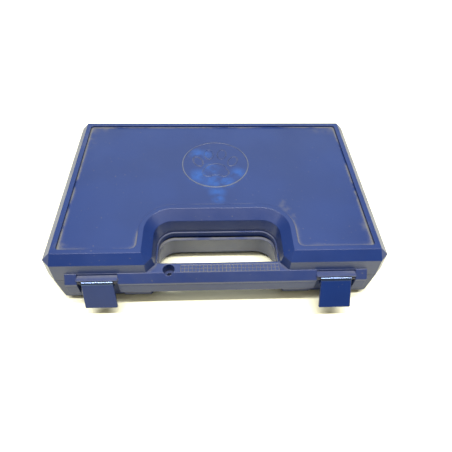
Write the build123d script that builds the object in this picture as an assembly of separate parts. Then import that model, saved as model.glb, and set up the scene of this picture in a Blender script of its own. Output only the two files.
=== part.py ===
from build123d import *
import math
import os

# Blue moulded carry case for a hand-held veterinary instrument.
# Frame: millimetres, +Z up, origin at the middle of the face that the closed case rests on,
# +X along the length, the handle and the two latches on the -Y side, the hinge on the +Y side.

# ---- body of the case -----------------------------------------------------------------------
CASE_HEIGHT = 69.0
PARTING_Z = 38.9
RIM_GAP = 0.15           # each rim stops this far from the parting plane
PANEL_X = 300.0          # flat top, inside the bevels
PANEL_Y = 189.2
BEVEL_OUT = 7.9
BEVEL_DOWN = 8.1
CORNER_CUT = 7.3         # chamfer of the upright corners
SHARP_CORNER = 0.6       # corner of the flat top
LID_DRAFT = 0.8
BASE_DRAFT = 1.3
WALL = 2.5
PANEL_RIM = 4.7
PANEL_SINK = 2.2
PANEL_CORNER = 3.0
PANEL_TURN = 5.5         # corners of the sunk field beside the notch

HALF_X = PANEL_X / 2
HALF_Y = PANEL_Y / 2
FRONT = -HALF_Y          # front edge of the flat top; the handle is laid out from here
SHOULDER_Z = CASE_HEIGHT - BEVEL_DOWN
RIM_HALF_X = HALF_X + BEVEL_OUT + LID_DRAFT
RIM_HALF_Y = HALF_Y + BEVEL_OUT + LID_DRAFT

# ---- handle notch, as (half width, depth behind FRONT, corner radius) ------------------------
NOTCH_TOP = (69.3, 52.4, 26.4)
NOTCH_SHOULDER = (60.7, 42.8, 17.0)
NOTCH_LEDGE = (59.0, 41.5, 16.8)
NOTCH_RING = (57.6, 40.1, 15.4)
BASE_HOLE_RIM = (56.8, 35.8, 14.8)
BASE_HOLE_FOOT = (61.5, 42.8, 21.0)
LEDGE_Z = 45.3
FLARE_FRONT = (67.0, -8.8)    # where the notch's chamfered corner meets the front wall
FLARE_SIDE_INSET = 0.2
NOTCH_REACH = 30.0            # how far the notch cutter runs out in front

# ---- handle bar and the band along the front --------------------------------------------------
BAR_TOP_Z = 49.0
BAR_BACK = 1.5                # depth of the bar's rear face behind FRONT
BAR_CORNER = 3.0
BAND_FACE = -15.6             # front face of the band, from FRONT
BAND_EDGE = -8.9              # top edge of the band's slope
BAND_FOOT_Z = 41.8            # lower edge of the slope
BAND_HALF_X = 140.0
BAND_BOTTOM_Z = 27.0
CHANNEL_WALL = 2.3
CHANNEL_HALF_X = 53.0

PADLOCK_X = -45.8
PADLOCK_Y = FRONT - 5.3
PADLOCK_R = 5.5
PADLOCK_BOSS_R = 7.4
SHACKLE_R = 2.6               # smaller hole in the lower half, on the same axis

GRIP_X = (-34.6, 57.0)
GRIP_Y = (-8.2, -1.2)
GRIP_COLUMNS = 26
GRIP_ROWS = 2
GRIP_GROOVE = 0.55
GRIP_DEPTH = 0.35

# ---- latches -----------------------------------------------------------------------------------
LATCH_X = 110.8
BAY_HALF = 18.5
BAY_BACK = -5.0               # back of the pocket in the lower half, from FRONT
HOOD_BOTTOM_Z = 44.4
HOOD_TOP_Z = 46.2
HOOD_FRONT = -14.4
LATCH_AXIS_Y = FRONT - 14.0
LATCH_AXIS_Z = 41.4
LATCH_WIDTH = 28.6
BARREL_R = 2.7
PLATE = 2.2
PLATE_DROP = 28.3
PLATE_SPREAD = 0.8            # the plate is this much wider on each side at its lower edge
PLATE_CORNER = 0.8
PLATE_EDGE = 0.4
LATCH_PIN_R = 0.9
RUNNING_CLEARANCE = 0.06
HOOK_TOP_Z = 29.3
HOOK_HEIGHT = 3.0
HOOK_REACH = 3.2
HOOK_WIDTH = 22.0
CATCH_BOTTOM_Z = 29.6
CATCH_HEIGHT = 3.4
CATCH_FRONT = -13.1
CATCH_HALF = 12.5
LATCH_FLARE = {"left": 19.4, "right": 35.7}      # degrees open as it stands

# ---- rear hinge --------------------------------------------------------------------------------
HINGE_Y = RIM_HALF_Y + 3.9
HINGE_STATIONS = (-92.0, 92.0)
KNUCKLE_R = 3.5
KNUCKLE_LENGTH = 8.6
KNUCKLE_PITCH = 9.0
KNUCKLES = 5
HINGE_PIN_R = 1.5
GUSSET_RISE = 10.5
GUSSET_TIP = 35.0             # degrees round the knuckle where the gusset leaves it

# ---- rim tongue and foam ------------------------------------------------------------------------
TONGUE_INSET = 1.4
TONGUE_HEIGHT = 1.7
TONGUE_PLAY = 0.25
LID_FOAM = (149.6, 94.2, 46.5, CASE_HEIGHT - PANEL_SINK - WALL - 0.1)
BASE_FOAM = (147.6, 92.2, WALL + 0.1, 25.0)
FOAM_NOTCH = (70.5, 54.0, 22.0)
FOAM_CORNER = 9.0

# ---- emblem: a plain ring round a paw in outline, raised on the sunk panel ----------------------
EMBLEM_Y = 24.7
EMBLEM_R = 35.9
EMBLEM_LINE = 0.9
EMBLEM_RAISE = 0.35
PAW_LINE = 0.8
TOES = ((-19.0, 4.0, 24.0), (-7.2, 15.5, 8.0), (7.2, 15.5, -8.0), (19.0, 4.0, -24.0))
TOE_SIZE = (5.2, 8.4)

PANEL_Z = CASE_HEIGHT - PANEL_SINK


def box_between(x_range, y_range, z_range):
    """A box from its lowest to its highest corner."""
    size = [high - low for low, high in (x_range, y_range, z_range)]
    centre = [(high + low) / 2 for low, high in (x_range, y_range, z_range)]
    return Pos(*centre) * Box(*size)


def octagon(half_x, half_y, corner, z):
    """A level rectangle with cut corners."""
    quarter = [(half_x, half_y - corner), (half_x - corner, half_y)]
    points = list(quarter)
    points += [(-x, y) for x, y in reversed(quarter)]
    points += [(-x, -y) for x, y in quarter]
    points += [(x, -y) for x, y in reversed(quarter)]
    return Plane.XY.offset(z) * make_face(Polyline(*points, close=True))


def rim_octagon(inset, z):
    """The outline of the case at the parting plane, moved in by inset."""
    corner = CORNER_CUT - inset * (2 - math.sqrt(2))
    return octagon(RIM_HALF_X - inset, RIM_HALF_Y - inset, corner, z)


def half_shell_block(panel_z, shoulder_z, rim_z, draft, inset=0.0, panel_sink=0.0):
    """One half of the case as a solid block, or its inside when inset is given."""
    inner_corner = CORNER_CUT - inset * (2 - math.sqrt(2))
    side = math.copysign(1, panel_z - shoulder_z)
    slope = BEVEL_OUT / BEVEL_DOWN
    out = slope * panel_sink - inset * math.sqrt(2)
    panel_x = RIM_HALF_X - draft - BEVEL_OUT + out
    panel_y = RIM_HALF_Y - draft - BEVEL_OUT + out
    wall_x = RIM_HALF_X - draft - inset
    wall_y = RIM_HALF_Y - draft - inset
    knee = inset * (math.sqrt(2) - 1) / slope
    levels = [
        octagon(panel_x, panel_y, SHARP_CORNER + inset / 2, panel_z - side * panel_sink),
        octagon(wall_x, wall_y, inner_corner, shoulder_z - side * knee),
        octagon(RIM_HALF_X - inset, RIM_HALF_Y - inset, inner_corner, rim_z)]
    levels.sort(key=lambda level: level.center().Z)
    return loft(levels, ruled=True)


def notch_face(shape, z, grow=0.0, flared=True):
    """The handle notch at one height, open towards the front."""
    half, depth, radius = shape
    half, back, radius = half + grow, FRONT + depth + grow, radius + grow
    reach = FRONT - NOTCH_REACH
    if flared:
        flare = (FLARE_FRONT[0] + grow, FRONT + FLARE_FRONT[1])
        side = (half - FLARE_SIDE_INSET, FRONT + grow / 2)
    else:
        flare = (half, FRONT - 0.3)
        side = (half, FRONT)
    bend = radius * (1 - math.sqrt(0.5))
    straight = [(flare[0], reach), flare, side, (half, back - radius)]
    corner = [(half, back - radius), (half - bend, back - bend), (half - radius, back)]
    flip = [(-x, y) for x, y in reversed(straight)]
    flip_corner = [(-x, y) for x, y in reversed(corner)]
    edges = [Line(start, end) for start, end in zip(straight, straight[1:])]
    edges += [ThreePointArc(*corner), Line(corner[-1], flip_corner[0]), ThreePointArc(*flip_corner)]
    edges += [Line(start, end) for start, end in zip(flip, flip[1:])]
    edges.append(Line(flip[-1], straight[0]))
    return Plane.XY.offset(z) * make_face(edges)


def notch_block(levels, grow=0.0):
    """Notch sections (shape, z, flared) joined from level to level."""
    faces = [notch_face(shape, z, grow, flared) for shape, z, flared in levels]
    blocks = [loft([low, high], ruled=True) for low, high in zip(faces, faces[1:])]
    joined = blocks[0]
    for block in blocks[1:]:
        joined += block
    return joined


def shape_between(low, high, share):
    """The notch shape that lies at this share of the way from low to high."""
    return tuple(a + (b - a) * share for a, b in zip(low, high))


def hand_opening(shape_low, z_low, shape_high, z_high):
    """The through opening behind the bar, between two heights."""
    faces = []
    for (half, depth, radius), z in ((shape_low, z_low), (shape_high, z_high)):
        low, high = FRONT + BAR_BACK, FRONT + depth
        blank = Pos(0, (low + high) / 2) * Rectangle(2 * half, high - low)
        blank = fillet(blank.vertices().sort_by(Axis.Y)[-2:], radius)
        front = blank.vertices().sort_by(Axis.Y)[:2]
        faces.append(Plane.XY.offset(z) * fillet(front, BAR_CORNER))
    return loft(faces, ruled=True)


def band_block(profile, half_length):
    """A profile of (distance from FRONT, z) points, run along X."""
    points = [(FRONT + y, z) for y, z in profile]
    face = Plane.YZ * make_face(Polyline(*points, close=True))
    return extrude(face, half_length, both=True)


def bays(y_range, z_range, margin=0.0):
    """The two latch bays as boxes."""
    half = BAY_HALF + margin
    y_low, y_high = FRONT + y_range[0], FRONT + y_range[1]
    return [box_between((x - half, x + half), (y_low, y_high), z_range) for x in (-LATCH_X, LATCH_X)]


def tongue(play=0.0):
    """The locating tongue that stands on the lower rim; play widens it into the lid's rebate."""
    low = PARTING_Z - RIM_GAP - (1.0 if play else 0.0)
    high = PARTING_Z - RIM_GAP + TONGUE_HEIGHT + play
    outer = extrude(rim_octagon(TONGUE_INSET - play, low), high - low)
    inner = extrude(rim_octagon(WALL + play, low), high - low)
    ring = outer - inner
    ring -= box_between((-75, 75), (-RIM_HALF_Y, FRONT + 60), (low, high))
    for bay in bays((-20, 20), (low, high), 4.0):
        ring -= bay
    return ring


def knuckle(x, bore, upward):
    """One hinge knuckle with its gusset to the rear wall."""
    along = Plane.YZ.offset(x - KNUCKLE_LENGTH / 2)
    side = 1 if upward else -1
    tip = math.radians(GUSSET_TIP)
    wall = RIM_HALF_Y - WALL / 2
    near = PARTING_Z + side * 2 * RIM_GAP
    gusset = make_face(Polyline(
        (wall, PARTING_Z + side * GUSSET_RISE),
        (wall, near),
        (HINGE_Y, near),
        (HINGE_Y + KNUCKLE_R * math.cos(tip), PARTING_Z + side * KNUCKLE_R * math.sin(tip)),
        close=True))
    disc = Pos(HINGE_Y, PARTING_Z) * Circle(KNUCKLE_R)
    body = extrude(along * (gusset + disc), KNUCKLE_LENGTH)
    return body - extrude(along * (Pos(HINGE_Y, PARTING_Z) * Circle(bore)), KNUCKLE_LENGTH)


def knuckle_places(on_lid):
    """X positions of one half's knuckles; the halves take turns along each station."""
    first = -(KNUCKLES - 1) / 2
    turns = range(1 if on_lid else 0, KNUCKLES, 2)
    return [station + (first + turn) * KNUCKLE_PITCH for station in HINGE_STATIONS for turn in turns]


def upright(x, y, radius, z_low, z_high):
    """An upright cylinder between two heights."""
    return extrude(Plane.XY.offset(z_low) * (Pos(x, y) * Circle(radius)), z_high - z_low)


def rod(x_range, y, z, radius):
    """A cylinder along X."""
    face = Plane.YZ.offset(x_range[0]) * (Pos(y, z) * Circle(radius))
    return extrude(face, x_range[1] - x_range[0])


def paw_pad(inset):
    """The heel pad of the paw."""
    pad = Pos(0, -9) * Ellipse(12.5 - inset, 9.5 - inset)
    for x in (-8.0, 8.0):
        pad += Pos(x, -13.5) * Circle(6.6 - inset)
    return pad


def emblem():
    """The raised ring and paw."""
    raised = Circle(EMBLEM_R + EMBLEM_LINE / 2) - Circle(EMBLEM_R - EMBLEM_LINE / 2)
    long, wide = TOE_SIZE[1], TOE_SIZE[0]
    for x, y, turn in TOES:
        place = Pos(x, y) * Rot(0, 0, turn)
        raised += place * (Ellipse(wide, long) - Ellipse(wide - PAW_LINE, long - PAW_LINE))
    pads = [paw_pad(0), paw_pad(PAW_LINE)]
    raised += pads[0] - pads[1]
    return extrude(Plane.XY.offset(PANEL_Z - 0.2) * (Pos(0, EMBLEM_Y) * raised), EMBLEM_RAISE + 0.2)


def panel_recess():
    """The sunk field of the lid: a rounded rectangle that steps round the notch."""
    half_x, half_y = HALF_X - PANEL_RIM, HALF_Y - PANEL_RIM
    field = RectangleRounded(2 * half_x, 2 * half_y, PANEL_CORNER)
    field -= notch_face(NOTCH_TOP, 0, grow=PANEL_RIM, flared=False)
    turns = field.vertices().filter_by(lambda v: abs(v.Y + half_y) < 0.01 and abs(v.X) < NOTCH_TOP[0] + 12)
    field = fillet(turns, PANEL_TURN)
    return extrude(Plane.XY.offset(PANEL_Z) * field, PANEL_SINK + 1)


def grip_grooves():
    """The fine grid cut into the top of the bar."""
    (x0, x1), (y0, y1) = GRIP_X, (FRONT + GRIP_Y[0], FRONT + GRIP_Y[1])
    z_range = (BAR_TOP_Z - GRIP_DEPTH, BAR_TOP_Z + 1)
    half = GRIP_GROOVE / 2
    grooves = []
    for column in range(GRIP_COLUMNS + 1):
        x = x0 + (x1 - x0) * column / GRIP_COLUMNS
        grooves.append(box_between((x - half, x + half), (y0, y1), z_range))
    for row in range(GRIP_ROWS + 1):
        y = y0 + (y1 - y0) * row / GRIP_ROWS
        grooves.append(box_between((x0 - half, x1 + half), (y - half, y + half), z_range))
    return grooves


def channel(z_low, z_high, sloped):
    """The hollow inside the bar."""
    front, back = BAND_FACE + CHANNEL_WALL, BAR_BACK - CHANNEL_WALL
    if sloped:
        run, drop = BAND_EDGE - BAND_FACE, BAR_TOP_Z - BAND_FOOT_Z
        profile = [(front, z_low), (front, z_high - drop), (front + run - 1, z_high), (back, z_high)]
    else:
        profile = [(front, z_low), (front, z_high), (back, z_high)]
    profile.append((back, z_low))
    return band_block(profile, CHANNEL_HALF_X)


def lid_shell():
    rim_z = PARTING_Z + RIM_GAP
    block = half_shell_block(CASE_HEIGHT, SHOULDER_Z, rim_z, LID_DRAFT)
    hollow = half_shell_block(CASE_HEIGHT, SHOULDER_Z, rim_z - 1, LID_DRAFT, WALL, PANEL_SINK + WALL)
    levels = [(NOTCH_LEDGE, rim_z - 2, True), (NOTCH_SHOULDER, SHOULDER_Z, True),
              (NOTCH_TOP, CASE_HEIGHT + 0.01, False)]
    hollow -= notch_block(levels, grow=WALL * 1.15)
    shell = block - hollow

    band = band_block([(BAR_BACK, rim_z), (BAND_FACE, rim_z), (BAND_FACE, BAND_FOOT_Z),
                       (BAND_EDGE, BAR_TOP_Z), (BAR_BACK, BAR_TOP_Z)], BAND_HALF_X)
    wall_keep = box_between((-BAND_HALF_X, BAND_HALF_X), (FRONT + 10 * BAND_FACE, FRONT - 7), (0, 80))
    bar_keep = box_between((-64, 64), (FRONT - 20, FRONT + BAR_BACK), (0, 80))
    shell += band & (wall_keep + bar_keep)

    shell -= notch_block([(NOTCH_LEDGE, BAR_TOP_Z, True), (NOTCH_SHOULDER, SHOULDER_Z, True),
                          (NOTCH_TOP, CASE_HEIGHT + 0.01, False)])
    shell -= hand_opening(NOTCH_LEDGE, LEDGE_Z, NOTCH_LEDGE, BAR_TOP_Z + 0.01)
    shell -= hand_opening(NOTCH_RING, rim_z - 1, NOTCH_RING, LEDGE_Z + 0.01)

    for bay in bays((-40, -8.75), (0, BAR_TOP_Z + 5)):
        shell -= bay
    for hood in bays((HOOD_FRONT, -8.0), (HOOD_BOTTOM_Z, HOOD_TOP_Z)):
        shell += hood

    padlock_boss = upright(PADLOCK_X, PADLOCK_Y, PADLOCK_BOSS_R, 0, 80)
    shell -= channel(rim_z - 1, BAR_TOP_Z - CHANNEL_WALL, True) - padlock_boss
    shell -= upright(PADLOCK_X, PADLOCK_Y, PADLOCK_R, 0, 80)
    shell -= tongue(TONGUE_PLAY)
    for groove in grip_grooves():
        shell -= groove
    shell -= panel_recess()
    shell += emblem()

    for x in knuckle_places(on_lid=True):
        shell += knuckle(x, HINGE_PIN_R + RUNNING_CLEARANCE, upward=True)
    for x_range in latch_pin_ranges():
        shell -= rod(x_range, LATCH_AXIS_Y, LATCH_AXIS_Z, LATCH_PIN_R)
    return shell


def base_shell():
    rim_z = PARTING_Z - RIM_GAP
    block = half_shell_block(0, BEVEL_DOWN, rim_z, BASE_DRAFT)
    hollow = half_shell_block(0, BEVEL_DOWN, rim_z + 1, BASE_DRAFT, WALL, WALL)
    levels = [(NOTCH_TOP, -0.01, False), (BASE_HOLE_FOOT, BEVEL_DOWN, True),
              (BASE_HOLE_RIM, rim_z + 2, True)]
    hollow -= notch_block(levels, grow=WALL * 1.15)
    for bay in bays((-40, BAY_BACK + WALL), (-1, rim_z + 2), WALL):
        hollow -= bay
    shell = block - hollow

    band = band_block([(BAR_BACK, rim_z), (BAND_FACE, rim_z), (BAND_FACE, BAND_BOTTOM_Z),
                       (BAR_BACK, BAND_BOTTOM_Z)], BAND_HALF_X)
    wall_keep = box_between((-BAND_HALF_X, BAND_HALF_X), (FRONT + 10 * BAND_FACE, FRONT - 7), (0, 80))
    bar_keep = box_between((-64, 64), (FRONT - 20, FRONT + BAR_BACK), (0, 80))
    shell += band & (wall_keep + bar_keep)

    share = (BAND_BOTTOM_Z - BEVEL_DOWN) / (PARTING_Z - BEVEL_DOWN)
    at_band = shape_between(BASE_HOLE_FOOT, BASE_HOLE_RIM, share)
    shell -= notch_block([(NOTCH_TOP, -0.01, False), (BASE_HOLE_FOOT, BEVEL_DOWN, True),
                          (at_band, BAND_BOTTOM_Z, True)])
    shell -= hand_opening(at_band, BAND_BOTTOM_Z - 0.01, BASE_HOLE_RIM, PARTING_Z)

    for bay in bays((-40, BAY_BACK), (-1, rim_z + 1)):
        shell -= bay
    for side in (-1, 1):
        x_range = (side * LATCH_X - CATCH_HALF, side * LATCH_X + CATCH_HALF)
        y_range = (FRONT + CATCH_FRONT, FRONT + BAY_BACK + 0.5)
        shell += box_between(x_range, y_range, (CATCH_BOTTOM_Z, CATCH_BOTTOM_Z + CATCH_HEIGHT))

    padlock_boss = upright(PADLOCK_X, PADLOCK_Y, PADLOCK_BOSS_R, 0, 80)
    shell -= channel(BAND_BOTTOM_Z + CHANNEL_WALL, rim_z + 1, False) - padlock_boss
    shell -= upright(PADLOCK_X, PADLOCK_Y, SHACKLE_R, 0, 80)
    shell += tongue()

    for x in knuckle_places(on_lid=False):
        shell += knuckle(x, HINGE_PIN_R, upward=False)
    return shell


def latch_pin_ranges():
    """Each latch pin runs from the end of the band into the wall at the bay's inner side."""
    outer, inner = BAND_HALF_X - 0.3, LATCH_X - BAY_HALF - 4.0
    return ((-outer, -inner), (inner, outer))


def latch(x, flare):
    """A latch plate hung on its barrel, turned out from the closed place by flare degrees."""
    x_range = (x - LATCH_WIDTH / 2, x + LATCH_WIDTH / 2)
    face_y = LATCH_AXIS_Y - BARREL_R
    foot_z = LATCH_AXIS_Z - PLATE_DROP
    outline = make_face(Polyline(
        (x_range[0], LATCH_AXIS_Z), (x_range[1], LATCH_AXIS_Z),
        (x_range[1] + PLATE_SPREAD, foot_z), (x_range[0] - PLATE_SPREAD, foot_z), close=True))
    plate = extrude(Plane.XZ.offset(-face_y) * outline, -PLATE)
    corners = plate.edges().filter_by(Axis.Y).group_by(Axis.Z)[0]
    plate = fillet(corners, PLATE_CORNER)
    rim = plate.faces().filter_by(Axis.Y).sort_by(Axis.Y)[0].edges().filter_by_position(
        Axis.Z, foot_z - 1, LATCH_AXIS_Z - 1)
    plate = chamfer(rim, PLATE_EDGE)
    hook_x = (x - HOOK_WIDTH / 2, x + HOOK_WIDTH / 2)
    inner_y = face_y + PLATE
    hook_points = [(inner_y - 0.5, HOOK_TOP_Z), (inner_y + HOOK_REACH, HOOK_TOP_Z),
                   (inner_y + HOOK_REACH, HOOK_TOP_Z - HOOK_HEIGHT / 3),
                   (inner_y - 0.5, HOOK_TOP_Z - HOOK_HEIGHT)]
    hook = extrude(Plane.YZ.offset(hook_x[0]) * make_face(Polyline(*hook_points, close=True)), HOOK_WIDTH)
    body = plate + hook + rod(x_range, LATCH_AXIS_Y, LATCH_AXIS_Z, BARREL_R)
    bore_x = (x_range[0] - PLATE_SPREAD, x_range[1] + PLATE_SPREAD)
    body -= rod(bore_x, LATCH_AXIS_Y, LATCH_AXIS_Z, LATCH_PIN_R + RUNNING_CLEARANCE)
    axis = Axis((x, LATCH_AXIS_Y, LATCH_AXIS_Z), (-1, 0, 0))
    return body.rotate(axis, flare)


def foam(sizes):
    """A plain slab of foam with the notch left out."""
    half_x, half_y, z_low, z_high = sizes
    outline = octagon(half_x, half_y, FOAM_CORNER, z_low)
    outline -= notch_face(FOAM_NOTCH, z_low, flared=False)
    return extrude(outline, z_high - z_low)


def hinge_pin(station):
    half = KNUCKLES * KNUCKLE_PITCH / 2
    return rod((station - half, station + half), HINGE_Y, PARTING_Z, HINGE_PIN_R)


nodes = {
    "lid_shell": lid_shell(),
    "base_shell": base_shell(),
    "lid_foam": foam(LID_FOAM),
    "base_foam": foam(BASE_FOAM),
}
for name, side in (("left", -1), ("right", 1)):
    nodes["latch_" + name] = latch(side * LATCH_X, LATCH_FLARE[name])
for name, x_range in zip(("left", "right"), latch_pin_ranges()):
    nodes["latch_pin_" + name] = rod(x_range, LATCH_AXIS_Y, LATCH_AXIS_Z, LATCH_PIN_R)
for name, station in zip(("left", "right"), HINGE_STATIONS):
    nodes["hinge_pin_" + name] = hinge_pin(station)

os.makedirs("parts", exist_ok=True)
for name, solid in nodes.items():
    export_step(solid, f"parts/{name}.step")
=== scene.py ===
import math

import bmesh
import bpy
from mathutils import Matrix, Vector


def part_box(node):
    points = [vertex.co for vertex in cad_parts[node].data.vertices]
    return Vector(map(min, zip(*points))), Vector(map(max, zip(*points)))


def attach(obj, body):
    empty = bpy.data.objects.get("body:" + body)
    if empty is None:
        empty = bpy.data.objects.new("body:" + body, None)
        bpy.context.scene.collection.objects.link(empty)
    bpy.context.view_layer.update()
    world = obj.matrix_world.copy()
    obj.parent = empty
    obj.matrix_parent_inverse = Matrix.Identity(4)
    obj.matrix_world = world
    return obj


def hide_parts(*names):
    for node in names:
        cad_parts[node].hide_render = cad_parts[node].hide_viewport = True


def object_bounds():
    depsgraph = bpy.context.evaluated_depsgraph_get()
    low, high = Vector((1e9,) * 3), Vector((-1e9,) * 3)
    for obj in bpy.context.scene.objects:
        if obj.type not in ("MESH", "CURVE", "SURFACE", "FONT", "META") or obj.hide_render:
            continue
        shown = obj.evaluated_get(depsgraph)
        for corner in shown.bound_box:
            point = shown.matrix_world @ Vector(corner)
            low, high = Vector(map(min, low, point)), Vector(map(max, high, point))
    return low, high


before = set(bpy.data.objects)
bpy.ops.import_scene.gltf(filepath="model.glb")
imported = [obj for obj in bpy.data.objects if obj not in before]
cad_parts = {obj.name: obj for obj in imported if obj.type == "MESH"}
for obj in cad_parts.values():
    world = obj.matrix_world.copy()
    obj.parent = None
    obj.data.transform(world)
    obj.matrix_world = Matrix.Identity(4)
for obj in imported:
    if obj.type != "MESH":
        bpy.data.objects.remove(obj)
cad_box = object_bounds()

MM = 0.001

# ---- camera: place over the middle of the rest face, and its turns -----------------------------
CAMERA_AT = Vector((-0.0082, -0.2940, 0.3505))
CAMERA_YAW = 0.0712
CAMERA_PITCH = 0.8874
CAMERA_ROLL = -0.0422
CAMERA_LENS = 30.54
SENSOR = 36.0
CLIP_START = 0.01

# ---- light and floor: a tube lamp nearly overhead, a glowing ceiling, a bright screen behind ------
LIGHT_AIM = (0, 0, 0.05)
LAMP_DISTANCE = 1.6
LAMP_TILT = math.radians(11.7)       # leans towards the handle side
LAMP_SIZE = (2.4, 0.11)
LAMP_POWER = 84.0
CEILING_AT = (0, -0.36, 1.72)
CEILING_SIZE = (1.5, 1.3)
CEILING_POWER = 23.0
CEILING_COLOR = (1.0, 0.93, 0.76)
SCREEN_AT = (0.03, 1.05, 1.25)
SCREEN_SIZE = (1.7, 1.35)
SCREEN_POWER = 12.5
SCREEN_COLOR = (0.82, 0.94, 1.0)
WORLD_COLOR = (1.0, 0.95, 0.84)
WORLD_STRENGTH = 0.2
FLOOR_SIZE = 4.0
FLOOR_COLOR = (0.71, 0.69, 0.51)
FLOOR_DARKER = 0.985                 # share of the colour left in the floor's darker flecks
FLOOR_ROUGHNESS = 0.6
FLOOR_DROP = 0.0002                  # keeps the floor just clear of the rest face

# ---- colours -------------------------------------------------------------------------------------------
NAVY = (0.0056, 0.0170, 0.080)
NAVY_DARK = (0.0048, 0.0144, 0.069)
# painted reflection: the brighter blue of the sheen patches round the emblem
NAVY_SHEEN = (0.006, 0.040, 0.165)
EMBLEM_LINE = (0.070, 0.078, 0.100)
# dust, and also the colour of the painted highlights of small pips
DUST_AND_GLINT = (0.092, 0.090, 0.078)
WORN_BARREL = (0.060, 0.088, 0.165)
STEEL_DARK, STEEL_LIGHT = (0.012, 0.012, 0.014), (0.035, 0.035, 0.04)
FOAM_PORE_SHADE, FOAM_CELL, FOAM_WORN = (0.012, 0.012, 0.013), (0.055, 0.056, 0.06), (0.09, 0.09, 0.095)

# ---- finish --------------------------------------------------------------------------------------------
LID_FINISH = (0.33, 0.38)            # roughness and specular level
BASE_FINISH = (0.35, 0.24)
LATCH_FINISH = (0.16, 0.2)
PLASTIC_IOR = 1.5
GLOSS_SPREAD = (-0.03, 0.04)         # how far smudges move the roughness
SMUDGE_STRETCH = (1.0, 0.6, 1.0)
BARREL_METALLIC = 0.9
EDGE_ROUND = 0.65 * MM
BAR_EXTRA_ROUND = 1.2 * MM
GRAIN_DEPTH = 0.02 * MM

UPWARD = (0.2, 0.7)                  # from a steep face to one that catches dust
CORNER_REACH = 6.0 * MM
CORNER_SAMPLES, EDGE_SAMPLES = 8, 6
CORNER_SHUT = (0.94, 0.72)           # how open a place is where corner dust starts and where it is full
DUST_FADE = (0.12, 0.62)
DUST_COVER = 0.72
DUST_ROUGHER = 0.35
PIP_GLINT_COVER = 0.5
HOLE_FLOOR_GREY = 0.22

STEEL_METALLIC = 0.6
STEEL_ROUGHNESS = (0.4, 0.55)
STEEL_STRETCH = (0.02, 1.0, 1.0)     # draws the lines out along X
FOAM_PORES = 900.0
FOAM_PORE_DEPTH = 0.25 * MM
FOAM_ROUGHNESS = 0.95
FOAM_SHEEN = 0.25

# plain noise as scale, detail and roughness
SMUDGE = (38.0, 5.0, 0.65)
SMUDGE_CUT = (0.3, 0.7)              # values of the noise that it is cut between
LINES_CUT = (0.2, 0.8)
PORES_CUT = (0.1, 0.6)
GRAIN = (2600.0, 2.0, 0.5)
STEEL_LINES = (3000.0, 2.0, 0.5)
FLOOR_FLECKS = (4.0, 3.0, 0.5)

# noise as above, then the values that it is cut between and what they become
PATTERNS = {
    "cloud": ((16.0, 3.0, 0.5), (0.3, 0.7, 0.0, 1.0)),
    "speckle": ((34.0, 5.0, 0.65), (0.36, 0.62, 0.05, 0.6)),
    # painted highlights: sets where the tiny pale glints of small pips fall
    "pip_glints": ((420.0, 2.0, 0.4), (0.735, 0.76, 0.0, 1.0)),
    # painted reflection: breaks up the sheen patches round the emblem
    "painted_sheen": ((95.0, 4.0, 0.6), (0.32, 0.60, 0.0, 1.0)),
    "heaps": ((105.0, 5.0, 0.65), (0.3, 0.6, 0.3, 1.0)),
    "smears": ((140.0, 5.0, 0.65), (0.42, 0.56, 0.0, 1.0)),
    "film": ((60.0, 4.0, 0.6), (0.3, 0.6, 0.6, 1.2)),
    "worn_foam": ((45.0, 4.0, 0.6), (0.3, 0.75, 0.0, 0.35)),
}

# ---- places on the case, in millimetres ------------------------------------------------------------------
# a zone starts at the first place and is full at the second, and goes from the third value to the fourth
ZONES = {
    # heights
    "panel": (66.0, 66.5, 0.0, 1.0),
    "panel_smears": (66.0, 66.5, 0.0, 0.30),
    "raised_lines": (67.02, 67.08, 0.0, 1.0),
    "settled_dust": (52.0, 60.0, 0.45, 1.0),
    "handle_film": (50.0, 49.5, 0.0, 0.11),
    "rim_film": (40.5, 39.5, 0.0, 0.4),
    "hoods": (47.5, 46.8, 0.0, 1.0),
    "grip_top": (48.95, 48.85, 0.0, 1.0),
    "grip_floor": (48.4, 48.5, 0.0, 1.0),
    "hole_floor": (42.0, 41.0, 0.0, 1.0),
    "barrel": (41.6, 42.6, 0.0, 1.0),
    "bar_edge_low": (46.0, 46.4, 0.0, 1.0),
    "bar_edge_high": (50.0, 49.6, 0.0, 1.0),
    # places along Y
    "behind_bar": (-92.5, -91.5, 0.0, 1.0),
    "grip_grid": (-103.3, -103.1, 0.0, 0.75),
    # distances from the bar's rear face
    "bar_rear": (3.0, 2.6, 0.0, 1.0),
    # distances from the middle along X
    "bay_inner_side": (92.0, 92.3, 0.0, 0.09),
    "bay_outer_side": (129.6, 129.3, 0.0, 1.0),
}
BAR_REAR_Y = -93.1
EMBLEM_AT = (0.0, 24.7)
EMBLEM_R = 35.9
RING_INSIDE, RING_OUTSIDE = 1, 3     # how far the worn band reaches past the ring's radius
RING_SOFTEN = (0.03, 0.02)           # share of the radius over which the band's outer and inner edge fade
HOLE_SOFTEN = 0.1
RING_WEAR, PAW_WEAR = 0.65, 0.2
RING_TOP_SHADE = (0.3, 0.2)               # full wear up to this share of the radius, and what is left at the top, where the lines are darkened as painted shade
SHEEN_SPOT_SPREAD = 1.35
SHEEN_SPOT_COVER = 0.9
# painted sheen spots (a painted reflection) on and below the emblem, from its middle, and dusty and smeared
# spots, as (x, y, radius)
SHEEN_SPOTS = ((-20, 17, 9), (-11, 16, 8), (-5, -9, 10), (-18, -19, 12), (-3, -27, 13), (11, -28, 10),
          (24, -15, 9), (1, -42, 10), (2, -53, 7))
DUSTY = ((-142, 84, 34), (-146, 38, 36), (-140, -86, 34), (-74, -80, 16), (76, -70, 24), (96, -88, 20),
         (144, -74, 38), (138, 86, 24))
SMEARS = ((-143, 58, 11), (-143, 70, 10), (-141, 84, 11), (66, -33, 6), (65, -38, 6), (69, -43, 7),
          (136, 84, 12), (-142, -84, 9), (120, 84, 10), (-128, 87, 9), (143, -66, 9), (77, -52, 6))
PADLOCK_HOLE = (-45.8, -99.9, 6.5)

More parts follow.
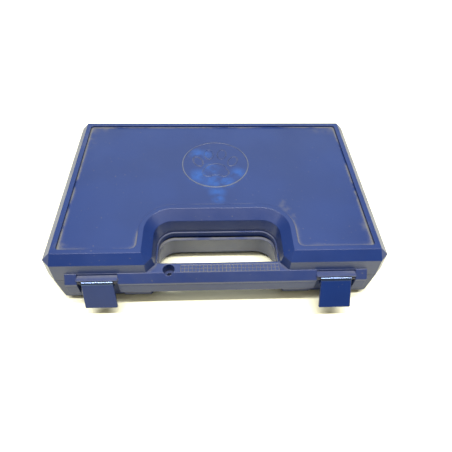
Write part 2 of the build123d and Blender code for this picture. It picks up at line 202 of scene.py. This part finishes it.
# ---- foam shape --------------------------------------------------------------------------------------------
FOAM_PITCH = 24.0 * MM
FOAM_STEP = 2.4 * MM
FOAM_SKIN = 0.55                     # flat part of the sheet's thickness, under the valleys
FOAM_PEAK = 0.985                    # the peaks stop just short of the slab's face
SMOOTH_SLOPE = 0.15                  # the ripples are shaded smooth, the cut sides flat


# ---- node helpers ----------------------------------------------------------------------------------
class Nodes:
    """Short calls for building one material's node tree."""

    def __init__(self, name):
        self.material = bpy.data.materials.new(name)
        self.material.use_nodes = True
        self.tree = self.material.node_tree
        self.bsdf = self.tree.nodes["Principled BSDF"]
        self.place = self.add("ShaderNodeTexCoord").outputs["Object"]

    def add(self, kind, **settings):
        node = self.tree.nodes.new(kind)
        for key, value in settings.items():
            setattr(node, key, value)
        return node

    def plug(self, value, socket):
        if isinstance(value, bpy.types.NodeSocket):
            self.tree.links.new(value, socket)
        else:
            socket.default_value = value

    def math(self, operation, first, second=0.0, third=0.0, clamp=False):
        node = self.add("ShaderNodeMath", operation=operation, use_clamp=clamp)
        for value, socket in zip((first, second, third), node.inputs):
            self.plug(value, socket)
        return node.outputs[0]

    def noise(self, scale, detail=3.0, roughness=0.5, stretch=(1, 1, 1)):
        place = self.place
        if stretch != (1, 1, 1):
            mapping = self.add("ShaderNodeMapping")
            mapping.inputs["Scale"].default_value = stretch
            self.plug(self.place, mapping.inputs["Vector"])
            place = mapping.outputs["Vector"]
        node = self.add("ShaderNodeTexNoise")
        self.plug(place, node.inputs["Vector"])
        node.inputs["Scale"].default_value = scale
        node.inputs["Detail"].default_value = detail
        node.inputs["Roughness"].default_value = roughness
        return node.outputs["Fac"]

    def ramp(self, value, low, high, start=0.0, end=1.0):
        """value between low and high, mapped smoothly to start and end."""
        node = self.add("ShaderNodeMapRange", interpolation_type="SMOOTHSTEP")
        for name, setting in (("From Min", low), ("From Max", high), ("To Min", start), ("To Max", end)):
            node.inputs[name].default_value = setting
        self.plug(value, node.inputs["Value"])
        return node.outputs["Result"]

    def pattern(self, name):
        """One of PATTERNS: noise, cut and mapped."""
        noise, span = PATTERNS[name]
        return self.ramp(self.noise(*noise), *span)

    def zone(self, name, value):
        """One of ZONES, for a place in metres."""
        low, high, start, end = ZONES[name]
        return self.ramp(value, low * MM, high * MM, start, end)

    def times(self, first, *others):
        for other in others:
            first = self.math("MULTIPLY", first, other)
        return first

    def mix(self, factor, first, second):
        node = self.add("ShaderNodeMix", data_type="RGBA")
        self.plug(factor, node.inputs[0])
        for value, socket in ((first, node.inputs[6]), (second, node.inputs[7])):
            if isinstance(value, tuple):
                value = (*value, 1.0)
            self.plug(value, socket)
        return node.outputs[2]

    def split(self, vector):
        node = self.add("ShaderNodeSeparateXYZ")
        self.plug(vector, node.inputs[0])
        return node.outputs

    def spots(self, places, soften=1.0):
        """1 in the middle of each round spot, fading to 0 at its edge; places in millimetres."""
        axes = self.split(self.place)
        total = 0.0
        for x, y, radius in places:
            across = self.math("SUBTRACT", axes[0], x * MM)
            along = self.math("SUBTRACT", axes[1], y * MM)
            square = self.math("MULTIPLY", across, across)
            reach = self.math("SQRT", self.math("MULTIPLY_ADD", along, along, square))
            total = self.math("MAXIMUM", self.ramp(reach, radius * MM, radius * MM * (1 - soften)), total)
        return total

    def bump(self, height, distance, normal=None):
        node = self.add("ShaderNodeBump")
        node.inputs["Strength"].default_value = 1.0
        node.inputs["Distance"].default_value = distance
        self.plug(height, node.inputs["Height"])
        if normal is not None:
            self.plug(normal, node.inputs["Normal"])
        return node.outputs["Normal"]


def case_plastic(name, finish, shell=False):
    """Navy moulded plastic: slightly cloudy colour, fine grain, rounded edges, dust in the corners, and
    painted highlights of small pips.
    """
    n = Nodes(name)
    roughness, specular = finish
    color = n.mix(n.pattern("cloud"), NAVY_DARK, NAVY)
    upward = n.ramp(n.split(n.add("ShaderNodeNewGeometry").outputs["Normal"])[2], *UPWARD)
    hollow = n.add("ShaderNodeAmbientOcclusion", samples=CORNER_SAMPLES)
    hollow.inputs["Distance"].default_value = CORNER_REACH
    corner = n.times(n.ramp(hollow.outputs["AO"], *CORNER_SHUT), upward)
    speckle = n.pattern("speckle")
    if shell:
        color = emblem_color(n, color)
        dust = shell_dust(n, corner, speckle, upward)
        round_radius = bar_round(n)
    else:
        dust = n.times(corner, speckle)
        on_barrel = n.zone("barrel", n.split(n.place)[2])
        color = n.mix(on_barrel, color, WORN_BARREL)
        n.plug(n.times(on_barrel, BARREL_METALLIC), n.bsdf.inputs["Metallic"])
        round_radius = EDGE_ROUND
    color = n.mix(n.math("MULTIPLY", dust, DUST_COVER, clamp=True), color, DUST_AND_GLINT)
    # painted highlights: tiny pale glints of small pips in the moulding, drawn in the dust colour on upward
    # faces
    color = n.mix(n.times(n.pattern("pip_glints"), upward, PIP_GLINT_COVER), color, DUST_AND_GLINT)

    n.plug(color, n.bsdf.inputs["Base Color"])
    smooth, rough = (roughness + change for change in GLOSS_SPREAD)
    gloss = n.ramp(n.noise(*SMUDGE, SMUDGE_STRETCH), *SMUDGE_CUT, smooth, rough)
    n.plug(n.math("MULTIPLY_ADD", dust, DUST_ROUGHER, gloss), n.bsdf.inputs["Roughness"])
    n.bsdf.inputs["IOR"].default_value = PLASTIC_IOR
    n.bsdf.inputs["Specular IOR Level"].default_value = specular
    rounded = n.add("ShaderNodeBevel", samples=EDGE_SAMPLES)
    n.plug(round_radius, rounded.inputs["Radius"])
    n.plug(n.bump(n.noise(*GRAIN), GRAIN_DEPTH, rounded.outputs[0]), n.bsdf.inputs["Normal"])
    return n.material


def bar_round(n):
    """Radius of the rounded edges: larger along the top of the bar's rear face."""
    place = n.split(n.place)
    behind = n.math("ABSOLUTE", n.math("SUBTRACT", place[1], BAR_REAR_Y * MM))
    near_top = n.times(n.zone("bar_edge_low", place[2]), n.zone("bar_edge_high", place[2]))
    edge = n.times(n.zone("bar_rear", behind), near_top)
    return n.math("MULTIPLY_ADD", edge, BAR_EXTRA_ROUND, EDGE_ROUND)


def emblem_color(n, color):
    """Painted sheen patches round the emblem, a painted reflection, and its worn raised lines, held back
    towards their top as painted shade.
    """
    x0, y0 = EMBLEM_AT
    place = n.split(n.place)
    # painted reflection: bright blue sheen patches on and below the emblem
    patches = n.spots([(x0 + x, y0 + y, radius * SHEEN_SPOT_SPREAD) for x, y, radius in SHEEN_SPOTS])
    painted_sheen = n.times(patches, n.pattern("painted_sheen"), n.zone("panel", place[2]))
    color = n.mix(n.times(painted_sheen, SHEEN_SPOT_COVER), color, NAVY_SHEEN)
    near = n.spots([(x0, y0, EMBLEM_R + RING_OUTSIDE)], soften=RING_SOFTEN[0])
    ring = n.math("SUBTRACT", near, n.spots([(x0, y0, EMBLEM_R - RING_INSIDE)], soften=RING_SOFTEN[1]))
    raised = n.times(n.zone("raised_lines", place[2]), near)
    worn = n.math("MULTIPLY_ADD", ring, RING_WEAR, PAW_WEAR)
    full, left_at_top = RING_TOP_SHADE
    # painted shade: the lighter line colour is held back towards the emblem's top, so the top of the ring
    # reads darker
    below_top = n.ramp(place[1], (y0 + EMBLEM_R) * MM, (y0 + full * EMBLEM_R) * MM, left_at_top, 1.0)
    return n.mix(n.times(raised, worn, below_top), color, EMBLEM_LINE)


def shell_dust(n, corner, speckle, upward):
    """Dust in the corners of the lid and in the grip grid, a film on the ledges, and a lighter grey on the
    floor of the padlock hole.
    """
    place = n.split(n.place)
    height = place[2]
    heaps = n.math("MULTIPLY_ADD", n.spots(DUSTY), n.pattern("heaps"), speckle)
    dust = n.times(n.ramp(n.times(corner, heaps), *DUST_FADE), n.zone("settled_dust", height))
    smears = n.times(n.spots(SMEARS), n.pattern("smears"), n.zone("panel_smears", height))
    dust = n.math("MULTIPLY_ADD", smears, upward, dust)

    on_rim = n.times(n.zone("rim_film", height), n.zone("behind_bar", place[1]))
    out = n.math("ABSOLUTE", place[0])
    in_bay = n.times(n.zone("bay_inner_side", out), n.zone("bay_outer_side", out), n.zone("hoods", height))
    film = n.math("ADD", n.math("ADD", n.zone("handle_film", height), on_rim), in_bay)
    film = n.times(film, n.pattern("film"))
    groove = n.times(n.zone("grip_top", height), n.zone("grip_floor", height), n.zone("grip_grid", place[1]))
    upper = n.times(n.math("ADD", film, groove), upward)
    # the floor of the padlock hole is turned a lighter grey
    in_hole = n.times(n.spots([PADLOCK_HOLE], soften=HOLE_SOFTEN), n.zone("hole_floor", height), HOLE_FLOOR_GREY)
    return n.math("MAXIMUM", n.math("ADD", dust, upper), in_hole)


def steel(name):
    """Blackened steel wire with fine lines along X."""
    n = Nodes(name)
    lines = n.noise(*STEEL_LINES, STEEL_STRETCH)
    n.plug(n.mix(lines, STEEL_DARK, STEEL_LIGHT), n.bsdf.inputs["Base Color"])
    n.bsdf.inputs["Metallic"].default_value = STEEL_METALLIC
    n.plug(n.ramp(lines, *LINES_CUT, *STEEL_ROUGHNESS), n.bsdf.inputs["Roughness"])
    return n.material


def foam_material(name):
    """Charcoal open-cell foam, with painted shade in its pores."""
    n = Nodes(name)
    cells = n.add("ShaderNodeTexVoronoi", feature="F1")
    n.plug(n.place, cells.inputs["Vector"])
    cells.inputs["Scale"].default_value = FOAM_PORES
    pores = cells.outputs["Distance"]
    # painted shade: the pores are coloured darker than the cell walls
    shade = n.mix(n.ramp(pores, *PORES_CUT), FOAM_PORE_SHADE, FOAM_CELL)
    n.plug(n.mix(n.pattern("worn_foam"), shade, FOAM_WORN), n.bsdf.inputs["Base Color"])
    n.bsdf.inputs["Roughness"].default_value = FOAM_ROUGHNESS
    n.bsdf.inputs["Sheen Weight"].default_value = FOAM_SHEEN
    n.plug(n.bump(pores, FOAM_PORE_DEPTH), n.bsdf.inputs["Normal"])
    return n.material


def floor_material():
    """Pale matt paint with faint flecks."""
    n = Nodes("floor_paint")
    darker = tuple(channel * FLOOR_DARKER for channel in FLOOR_COLOR)
    n.plug(n.mix(n.noise(*FLOOR_FLECKS), FLOOR_COLOR, darker), n.bsdf.inputs["Base Color"])
    n.bsdf.inputs["Roughness"].default_value = FLOOR_ROUGHNESS
    return n.material


def set_material(piece, material):
    piece.data.materials.clear()
    piece.data.materials.append(material)


# ---- foam --------------------------------------------------------------------------------------------
def egg_crate(name, node, peaks_up):
    """Convoluted foam in the space of its plain slab: a rippled sheet cut to the slab's outline."""
    low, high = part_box(node)
    size = high - low
    columns = int(size.x / FOAM_STEP) + 3
    rows = int(size.y / FOAM_STEP) + 3
    mesh = bmesh.new()
    flat, rippled = [], []
    for row in range(rows):
        for column in range(columns):
            x = low.x - FOAM_STEP + column * FOAM_STEP
            y = low.y - FOAM_STEP + row * FOAM_STEP
            wave = (math.cos(2 * math.pi * x / FOAM_PITCH) * math.cos(2 * math.pi * y / FOAM_PITCH) + 1) / 2
            rise = size.z * (FOAM_SKIN + (FOAM_PEAK - FOAM_SKIN) * wave)
            face_z = low.z + rise if peaks_up else high.z - rise
            back_z = low.z - MM if peaks_up else high.z + MM
            rippled.append(mesh.verts.new((x, y, face_z)))
            flat.append(mesh.verts.new((x, y, back_z)))
    for row in range(rows - 1):
        for column in range(columns - 1):
            corner = row * columns + column
            ring = (corner, corner + 1, corner + columns + 1, corner + columns)
            mesh.faces.new([rippled[i] for i in ring])
            mesh.faces.new([flat[i] for i in reversed(ring)])
    border = list(range(columns))
    border += [row * columns + columns - 1 for row in range(1, rows)]
    border += [(rows - 1) * columns + column for column in range(columns - 2, -1, -1)]
    border += [row * columns for row in range(rows - 2, 0, -1)]
    for here, there in zip(border, border[1:] + border[:1]):
        mesh.faces.new((rippled[there], rippled[here], flat[here], flat[there]))
    bmesh.ops.recalc_face_normals(mesh, faces=mesh.faces)
    data = bpy.data.meshes.new(name)
    mesh.to_mesh(data)
    mesh.free()
    sheet = bpy.data.objects.new(name, data)
    bpy.context.scene.collection.objects.link(sheet)
    cut = sheet.modifiers.new("outline", "BOOLEAN")
    cut.operation = "INTERSECT"
    cut.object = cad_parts[node]
    cut.solver = "EXACT"
    graph = bpy.context.evaluated_depsgraph_get()
    cut_mesh = bpy.data.meshes.new_from_object(sheet.evaluated_get(graph))
    sheet.modifiers.clear()
    sheet.data = cut_mesh
    for face in cut_mesh.polygons:
        face.use_smooth = abs(face.normal.z) > SMOOTH_SLOPE
    return sheet


# ---- stage ------------------------------------------------------------------------------------------
def add_floor():
    """A wide plain floor just under the case."""
    mesh = bmesh.new()
    bmesh.ops.create_grid(mesh, x_segments=8, y_segments=8, size=FLOOR_SIZE / 2)
    data = bpy.data.meshes.new("floor")
    mesh.to_mesh(data)
    mesh.free()
    floor = bpy.data.objects.new("floor", data)
    floor.location.z = cad_box[0].z - FLOOR_DROP
    bpy.context.scene.collection.objects.link(floor)
    set_material(floor, floor_material())


def add_light(name, place, size, power, color=(1, 1, 1)):
    """A rectangular lamp that faces the case."""
    lamp = bpy.data.lights.new(name, "AREA")
    lamp.shape = "RECTANGLE"
    lamp.size, lamp.size_y = size
    lamp.energy = power
    lamp.color = color
    holder = bpy.data.objects.new(name, lamp)
    holder.location = place
    holder.rotation_euler = (Vector(LIGHT_AIM) - Vector(place)).to_track_quat("-Z", "Y").to_euler()
    bpy.context.scene.collection.objects.link(holder)


def add_camera():
    """The camera looks along forward; its right and down axes are turned by the roll."""
    level = math.cos(CAMERA_PITCH)
    forward = Vector((math.sin(CAMERA_YAW) * level, math.cos(CAMERA_YAW) * level, -math.sin(CAMERA_PITCH)))
    right = Vector((math.cos(CAMERA_YAW), -math.sin(CAMERA_YAW), 0))
    down = forward.cross(right)
    turned_right = right * math.cos(CAMERA_ROLL) + down * math.sin(CAMERA_ROLL)
    turned_down = down * math.cos(CAMERA_ROLL) - right * math.sin(CAMERA_ROLL)
    axes = Matrix((turned_right, -turned_down, -forward)).transposed()
    data = bpy.data.cameras.new("camera")
    data.lens = CAMERA_LENS
    data.sensor_width = SENSOR
    data.clip_start = CLIP_START
    camera = bpy.data.objects.new("camera", data)
    camera.matrix_world = Matrix.Translation(CAMERA_AT) @ axes.to_4x4()
    bpy.context.scene.collection.objects.link(camera)
    bpy.context.scene.camera = camera


def add_world():
    """An even warm glow from all round."""
    world = bpy.data.worlds.new("world")
    bpy.context.scene.world = world
    world.use_nodes = True
    background = world.node_tree.nodes["Background"]
    background.inputs["Color"].default_value = (*WORLD_COLOR, 1)
    background.inputs["Strength"].default_value = WORLD_STRENGTH


add_camera()
add_world()
add_floor()
lamp_at = (0, -LAMP_DISTANCE * math.sin(LAMP_TILT), LAMP_DISTANCE * math.cos(LAMP_TILT))
add_light("lamp", lamp_at, LAMP_SIZE, LAMP_POWER)
add_light("ceiling", CEILING_AT, CEILING_SIZE, CEILING_POWER, CEILING_COLOR)
add_light("screen", SCREEN_AT, SCREEN_SIZE, SCREEN_POWER, SCREEN_COLOR)

lid_plastic = case_plastic("lid_plastic", LID_FINISH, shell=True)
base_plastic = case_plastic("base_plastic", BASE_FINISH, shell=True)
latch_plastic = case_plastic("latch_plastic", LATCH_FINISH)
pin_steel = steel("pin_steel")
lining = foam_material("lining_foam")

for name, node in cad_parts.items():
    if name.endswith("_shell"):
        set_material(node, lid_plastic if name.startswith("lid") else base_plastic)
    elif "pin" in name:
        set_material(node, pin_steel)
    elif name.startswith("latch"):
        set_material(node, latch_plastic)

for name, node, body, peaks_up in (("lid_lining", "lid_foam", "lid", False),
                                   ("base_lining", "base_foam", "root", True)):
    sheet = egg_crate(name, node, peaks_up)
    set_material(sheet, lining)
    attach(sheet, body)
    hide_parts(node)

bpy.context.scene.view_settings.view_transform = "Standard"
bpy.context.scene.view_settings.look = "None"
